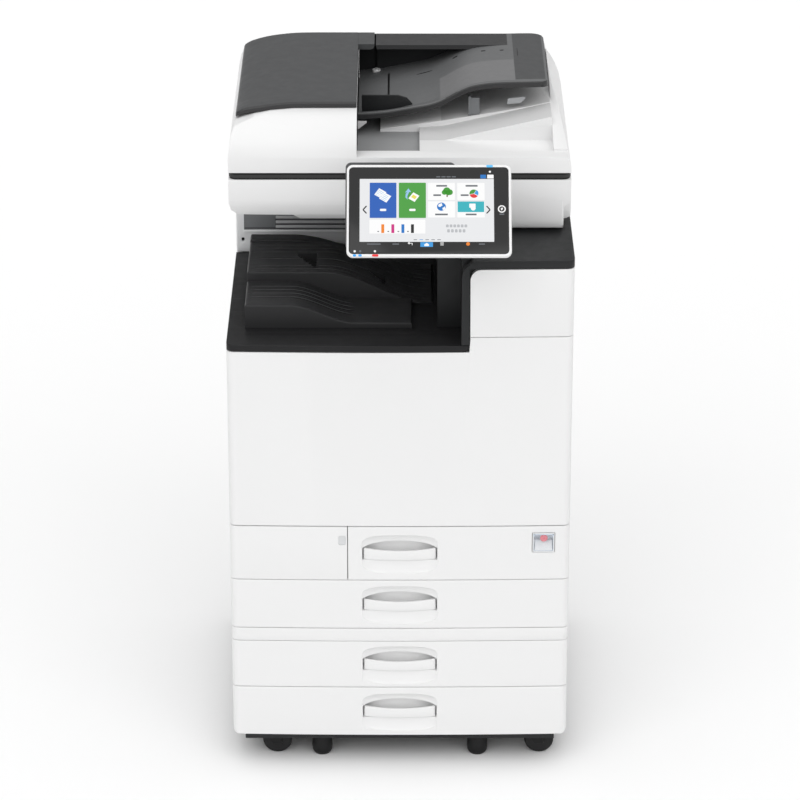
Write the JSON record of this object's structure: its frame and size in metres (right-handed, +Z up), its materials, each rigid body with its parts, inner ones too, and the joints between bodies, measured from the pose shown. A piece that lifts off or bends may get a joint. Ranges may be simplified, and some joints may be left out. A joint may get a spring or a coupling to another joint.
{
  "type": "photocopier",
  "caption": "Floor-standing colour photocopier with document feeder, tilting touch panel, recessed output bay, four paper drawers and castered base.",
  "frame": {"origin": "on the floor under the centre of the whole machine, casters and feet at z = 0", "axes": "+Z up, -Y towards the user in front of the machine, +X to the right seen from the front"},
  "size_m": [0.587, 0.685, 1.16],
  "materials": {
    "white_plastic": "fine-textured moulded white ABS, semi-matt",
    "light_grey_plastic": "light grey moulded plastic",
    "cover_grey_plastic": "mid-dark grey moulded plastic, satin",
    "tray_grey_plastic": "dark grey moulded plastic, satin",
    "dark_plastic": "charcoal moulded plastic, fine texture",
    "black_plastic": "black moulded plastic",
    "rubber": "matt black rubber",
    "galvanised_steel": "zinc-coated sheet steel",
    "hinge_steel": "plain steel hinge bracket",
    "scanner_glass": "clear float glass",
    "screen_glass": "black glass touch screen with a lit display area",
    "clear_plastic": "clear faintly blue plastic flap",
    "pink_button": "translucent pink-red push button",
    "toner_yellow": "yellow moulded bottle",
    "toner_magenta": "magenta moulded bottle",
    "toner_cyan": "cyan moulded bottle",
    "toner_black": "black moulded bottle"
  },
  "bodies": {
    "root": {"base_plate": "galvanised_steel", "bank_cabinet": "white_plastic", "main_cabinet": "galvanised_steel", "left_cover": "white_plastic", "right_cover": "white_plastic", "rear_cover": "white_plastic", "power_inlet": "black_plastic", "column_panel": "white_plastic", "deck_cover": "dark_plastic", "exit_deck": "dark_plastic", "exit_tray": "dark_plastic", "inner_back_cover": "light_grey_plastic", "switch_housing": "white_plastic", "transfer_belt_unit": "dark_plastic", "drum_unit": "dark_plastic", "fuser_unit": "dark_plastic", "waste_bottle": "light_grey_plastic", "scanner_housing": "white_plastic", "contact_glass": "scanner_glass", "scanner_frame": "black_plastic", "adf_hinge": "hinge_steel", "panel_arm": "light_grey_plastic"},
    "adf_lid": {"adf_base": "white_plastic", "platen_pad": "white_plastic"},
    "feed_cover": {"adf_feed_cover": "cover_grey_plastic"},
    "pickup_roller": {"adf_pickup_roller": "rubber"},
    "input_tray": {"adf_input_tray": "tray_grey_plastic"},
    "guide_front": {"adf_guide_front": "dark_plastic"},
    "operation_panel": {"panel_case": "white_plastic", "panel_glass": "screen_glass"},
    "front_door": {"front_door": "white_plastic"},
    "waste_door": {"waste_door": "white_plastic"},
    "right_door": {"right_door": "white_plastic"},
    "bypass_tray": {"bypass_tray": "white_plastic"},
    "switch_flap": {"switch_flap": "clear_plastic"},
    "power_button": {"power_button": "pink_button"},
    "exit_roller": {"exit_roller": "rubber"},
    "scan_carriage": {"scan_carriage": "dark_plastic"},
    "foot_left": {"foot_left": "black_plastic"},
    "foot_right": {"foot_right": "black_plastic"},
    "tray_1": {"tray_1_front": "white_plastic", "tray_1_box": "light_grey_plastic"},
    "tray_2": {"tray_2_front": "white_plastic", "tray_2_box": "light_grey_plastic"},
    "tray_3": {"tray_3_front": "white_plastic", "tray_3_box": "light_grey_plastic"},
    "tray_4": {"tray_4_front": "white_plastic", "tray_4_box": "light_grey_plastic"},
    "toner_bottle_yellow": {"toner_bottle_yellow": "toner_yellow"},
    "toner_bottle_magenta": {"toner_bottle_magenta": "toner_magenta"},
    "toner_bottle_cyan": {"toner_bottle_cyan": "toner_cyan"},
    "toner_bottle_black": {"toner_bottle_black": "toner_black"},
    "caster_front_left_fork": {"caster_front_left_fork": "black_plastic"},
    "caster_front_left_wheel": {"caster_front_left_wheel": "rubber"},
    "caster_front_right_fork": {"caster_front_right_fork": "black_plastic"},
    "caster_front_right_wheel": {"caster_front_right_wheel": "rubber"},
    "caster_rear_left_fork": {"caster_rear_left_fork": "black_plastic"},
    "caster_rear_left_wheel": {"caster_rear_left_wheel": "rubber"},
    "caster_rear_right_fork": {"caster_rear_right_fork": "black_plastic"},
    "caster_rear_right_wheel": {"caster_rear_right_wheel": "rubber"}
  },
  "joints": [
    {"name": "adf_lid_hinge", "type": "hinge", "parent": "root", "child": "adf_lid", "pos_m": [0, 0.332, 1.051], "axis": [-1, 0, 0], "range_deg": [0, 60]},
    {"name": "feed_cover_hinge", "type": "hinge", "parent": "adf_lid", "child": "feed_cover", "pos_m": [-0.279, 0.145, 1.131], "axis": [0, -1, 0], "range_deg": [0, 80]},
    {"name": "pickup_roller_spin", "type": "hinge", "parent": "adf_lid", "child": "pickup_roller", "pos_m": [-0.1, 0.145, 1.112], "axis": [0, 1, 0], "continuous": true},
    {"name": "input_tray_hinge", "type": "hinge", "parent": "adf_lid", "child": "input_tray", "pos_m": [-0.064, 0.205, 1.147], "axis": [0, -1, 0], "range_deg": [0, 25]},
    {"name": "guide_front_slide", "type": "slide", "parent": "input_tray", "child": "guide_front", "axis": [0, 1, 0], "range_m": [0, 0.09]},
    {"name": "panel_tilt", "type": "hinge", "parent": "root", "child": "operation_panel", "pos_m": [0, -0.2403, 1.0329], "axis": [1, 0, 0], "range_deg": [-25, 20]},
    {"name": "front_door_hinge", "type": "hinge", "parent": "root", "child": "front_door", "pos_m": [0, -0.252, 0.471], "axis": [1, 0, 0], "range_deg": [0, 90]},
    {"name": "waste_door_hinge", "type": "hinge", "parent": "root", "child": "waste_door", "pos_m": [-0.289, -0.248, 0.409], "axis": [0, 0, -1], "range_deg": [0, 100]},
    {"name": "right_door_hinge", "type": "hinge", "parent": "root", "child": "right_door", "pos_m": [0.2885, 0.01, 0.481], "axis": [0, 1, 0], "range_deg": [0, 50]},
    {"name": "bypass_tray_hinge", "type": "hinge", "parent": "right_door", "child": "bypass_tray", "pos_m": [0.291, 0.01, 0.565], "axis": [0, 1, 0], "range_deg": [0, 75]},
    {"name": "switch_flap_hinge", "type": "hinge", "parent": "root", "child": "switch_flap", "pos_m": [0.248, -0.2564, 0.4452], "axis": [-1, 0, 0], "range_deg": [0, 90]},
    {"name": "power_button_press", "type": "slide", "parent": "root", "child": "power_button", "axis": [0, 1, 0], "range_m": [0, 0.002], "stiffness_N_per_m": 400},
    {"name": "exit_roller_spin", "type": "hinge", "parent": "root", "child": "exit_roller", "pos_m": [0.072, 0.005, 0.868], "axis": [0, 1, 0], "continuous": true},
    {"name": "scan_carriage_slide", "type": "slide", "parent": "root", "child": "scan_carriage", "axis": [1, 0, 0], "range_m": [0, 0.44]},
    {"name": "foot_left_screw", "type": "slide", "parent": "root", "child": "foot_left", "axis": [0, 0, 1], "range_m": [0, 0.008]},
    {"name": "foot_right_screw", "type": "slide", "parent": "root", "child": "foot_right", "axis": [0, 0, 1], "range_m": [0, 0.008]},
    {"name": "tray_1_slide", "type": "slide", "parent": "root", "child": "tray_1", "axis": [0, -1, 0], "range_m": [0, 0.36]},
    {"name": "tray_2_slide", "type": "slide", "parent": "root", "child": "tray_2", "axis": [0, -1, 0], "range_m": [0, 0.36]},
    {"name": "tray_3_slide", "type": "slide", "parent": "root", "child": "tray_3", "axis": [0, -1, 0], "range_m": [0, 0.36]},
    {"name": "tray_4_slide", "type": "slide", "parent": "root", "child": "tray_4", "axis": [0, -1, 0], "range_m": [0, 0.36]},
    {"name": "toner_bottle_yellow_spin", "type": "hinge", "parent": "root", "child": "toner_bottle_yellow", "pos_m": [-0.21, -0.02, 0.725], "axis": [0, 1, 0], "continuous": true},
    {"name": "toner_bottle_magenta_spin", "type": "hinge", "parent": "root", "child": "toner_bottle_magenta", "pos_m": [-0.11, -0.02, 0.725], "axis": [0, 1, 0], "continuous": true},
    {"name": "toner_bottle_cyan_spin", "type": "hinge", "parent": "root", "child": "toner_bottle_cyan", "pos_m": [-0.01, -0.02, 0.725], "axis": [0, 1, 0], "continuous": true},
    {"name": "toner_bottle_black_spin", "type": "hinge", "parent": "root", "child": "toner_bottle_black", "pos_m": [0.09, -0.02, 0.725], "axis": [0, 1, 0], "continuous": true},
    {"name": "caster_front_left_swivel", "type": "hinge", "parent": "root", "child": "caster_front_left_fork", "pos_m": [-0.232, -0.2075, 0.06], "axis": [0, 0, 1], "continuous": true},
    {"name": "caster_front_left_roll", "type": "hinge", "parent": "caster_front_left_fork", "child": "caster_front_left_wheel", "pos_m": [-0.217, -0.2075, 0.026], "axis": [0, 1, 0], "continuous": true},
    {"name": "caster_front_right_swivel", "type": "hinge", "parent": "root", "child": "caster_front_right_fork", "pos_m": [0.232, -0.2075, 0.06], "axis": [0, 0, 1], "continuous": true},
    {"name": "caster_front_right_roll", "type": "hinge", "parent": "caster_front_right_fork", "child": "caster_front_right_wheel", "pos_m": [0.247, -0.2075, 0.026], "axis": [0, 1, 0], "continuous": true},
    {"name": "caster_rear_left_swivel", "type": "hinge", "parent": "root", "child": "caster_rear_left_fork", "pos_m": [-0.232, 0.265, 0.06], "axis": [0, 0, 1], "continuous": true},
    {"name": "caster_rear_left_roll", "type": "hinge", "parent": "caster_rear_left_fork", "child": "caster_rear_left_wheel", "pos_m": [-0.232, 0.28, 0.026], "axis": [1, 0, 0], "continuous": true},
    {"name": "caster_rear_right_swivel", "type": "hinge", "parent": "root", "child": "caster_rear_right_fork", "pos_m": [0.232, 0.265, 0.06], "axis": [0, 0, 1], "continuous": true},
    {"name": "caster_rear_right_roll", "type": "hinge", "parent": "caster_rear_right_fork", "child": "caster_rear_right_wheel", "pos_m": [0.232, 0.28, 0.026], "axis": [1, 0, 0], "continuous": true}
  ]
}
